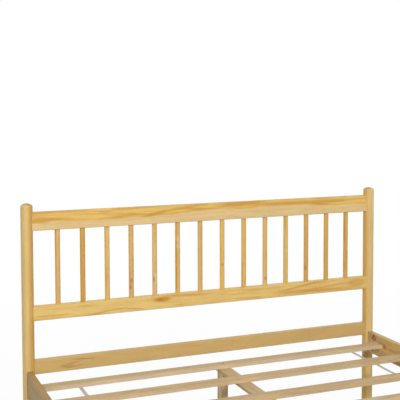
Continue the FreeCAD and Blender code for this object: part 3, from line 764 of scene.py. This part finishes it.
def white_to_the_eye(tree, plain, white):
    """Mixes a plain shader with a white one that only camera, glossy and clear rays meet."""
    ray = add(tree, "ShaderNodeLightPath").outputs
    glossy = add(tree, "ShaderNodeMath", {
        0: ray["Is Camera Ray"], 1: ray["Is Glossy Ray"]}, operation="MAXIMUM").outputs[0]
    seen = add(tree, "ShaderNodeMath", {
        0: glossy, 1: ray["Is Transmission Ray"]}, operation="MAXIMUM").outputs[0]
    return add(tree, "ShaderNodeMixShader", {0: seen, 1: plain, 2: white}).outputs[0]


FLOOR_HALF = 60.0                  # metres
FLOOR_PAINT = (0.34, 0.34, 0.34, 1)
FLOOR_GLOW = 0.975                 # how much of the floor's white is its own, under the bed
FADE_FROM, FADE_TO = 1.6, 4.5      # metres from the middle, between which that grows to 1
WORLD_LIGHT = 0.16
WHITE = (1, 1, 1, 1)

floor_mesh = bpy.data.meshes.new("studio_floor")
floor_mesh.from_pydata([(x * FLOOR_HALF, y * FLOOR_HALF, 0.0)
                        for x, y in ((-1, -1), (1, -1), (1, 1), (-1, 1))], [], [(0, 1, 2, 3)])
floor = bpy.data.objects.new("studio_floor", floor_mesh)
bpy.context.scene.collection.objects.link(floor)
floor_finish = bpy.data.materials.new("studio_floor")
floor_finish.use_nodes = True
tree = floor_finish.node_tree
tree.nodes.clear()
paint = add(tree, "ShaderNodeBsdfDiffuse", {"Color": FLOOR_PAINT}).outputs[0]
glow = add(tree, "ShaderNodeEmission", {"Color": WHITE, "Strength": 1.0}).outputs[0]
place = add(tree, "ShaderNodeTexCoord").outputs["Object"]
away = add(tree, "ShaderNodeVectorMath", {0: place}, operation="LENGTH").outputs["Value"]
share = add(tree, "ShaderNodeMapRange", {
    0: away, 1: FADE_FROM, 2: FADE_TO, 3: FLOOR_GLOW, 4: 1.0},
    interpolation_type="SMOOTHSTEP").outputs[0]
bright = add(tree, "ShaderNodeMixShader", {0: share, 1: paint, 2: glow}).outputs[0]
add(tree, "ShaderNodeOutputMaterial", {"Surface": white_to_the_eye(tree, paint, bright)})
dress(floor, floor_finish)

world = bpy.data.worlds.new("studio")
world.use_nodes = True
tree = world.node_tree
tree.nodes.clear()
fill = add(tree, "ShaderNodeBackground", {
    "Color": WHITE, "Strength": WORLD_LIGHT}).outputs[0]
white = add(tree, "ShaderNodeBackground", {"Color": WHITE, "Strength": 1.0}).outputs[0]
add(tree, "ShaderNodeOutputWorld", {"Surface": white_to_the_eye(tree, fill, white)})
bpy.context.scene.world = world


def softbox(name, place, aim, side, watts, glossy=True):
    """A square area lamp at a place, turned so that its own -Z points at the aim. One that
    isn't glossy gives no highlights, only soft light."""
    lamp = bpy.data.lights.new(name, "AREA")
    lamp.shape = "SQUARE"
    lamp.size = side
    lamp.energy = watts
    holder = bpy.data.objects.new(name, lamp)
    bpy.context.scene.collection.objects.link(holder)
    holder.location = place
    holder.rotation_euler = (Vector(aim) - Vector(place)).to_track_quat("-Z", "Y").to_euler()
    holder.visible_camera = False
    holder.visible_glossy = glossy


# The key and the two side lamps light the headboard's front. The back lamps lift the sides that
# look away from the foot, without a glare on the top edges.
HEADBOARD_MIDDLE = (0.0, 0.9, 0.6)
BED_MIDDLE = (0.0, 0.4, 0.4)
softbox("key_softbox", (-1.0, -3.9, 3.6), HEADBOARD_MIDDLE, side=1.2, watts=230)
softbox("left_softbox", (-3.6, -3.0, 2.2), HEADBOARD_MIDDLE, side=2.4, watts=60)
softbox("right_softbox", (4.2, -0.4, 1.4), HEADBOARD_MIDDLE, side=2.0, watts=30)
for name, x in (("back_left_softbox", -3.4), ("back_right_softbox", 3.4)):
    softbox(name, (x, 5.0, 1.9), BED_MIDDLE, side=2.4, watts=110, glossy=False)


# ---------------------------------------------------------------- camera

# The view of the photograph, found by matching the headboard's lines.
IMAGE_SIDE = 400.0                               # pixels
EYE = Vector((-1.4218, -2.3510, 1.4062))
YAW, PITCH, ROLL = 0.3839, 0.0596, 0.0028        # radians: right of +Y, downwards, clockwise
FOCAL_PIXELS = 870.0
AXIS_ROW = 150.8                                 # the pixel row that the optical axis meets
SENSOR = 36.0                                    # mm wide

ahead = Vector((math.sin(YAW) * math.cos(PITCH), math.cos(YAW) * math.cos(PITCH),
                -math.sin(PITCH)))
level = Vector((math.cos(YAW), -math.sin(YAW), 0.0))
down = ahead.cross(level)
across = level * math.cos(ROLL) + down * math.sin(ROLL)
below = down * math.cos(ROLL) - level * math.sin(ROLL)
lens = bpy.data.cameras.new("camera")
lens.sensor_width = SENSOR
lens.lens = FOCAL_PIXELS / IMAGE_SIDE * SENSOR
lens.shift_y = (AXIS_ROW - IMAGE_SIDE / 2) / IMAGE_SIDE
camera = bpy.data.objects.new("camera", lens)
bpy.context.scene.collection.objects.link(camera)
turned = Matrix((across, -below, -ahead)).transposed().to_4x4()
camera.matrix_world = Matrix.Translation(EYE) @ turned
bpy.context.scene.camera = camera
bpy.context.scene.view_settings.view_transform = "Standard"

bpy.context.view_layer.update()
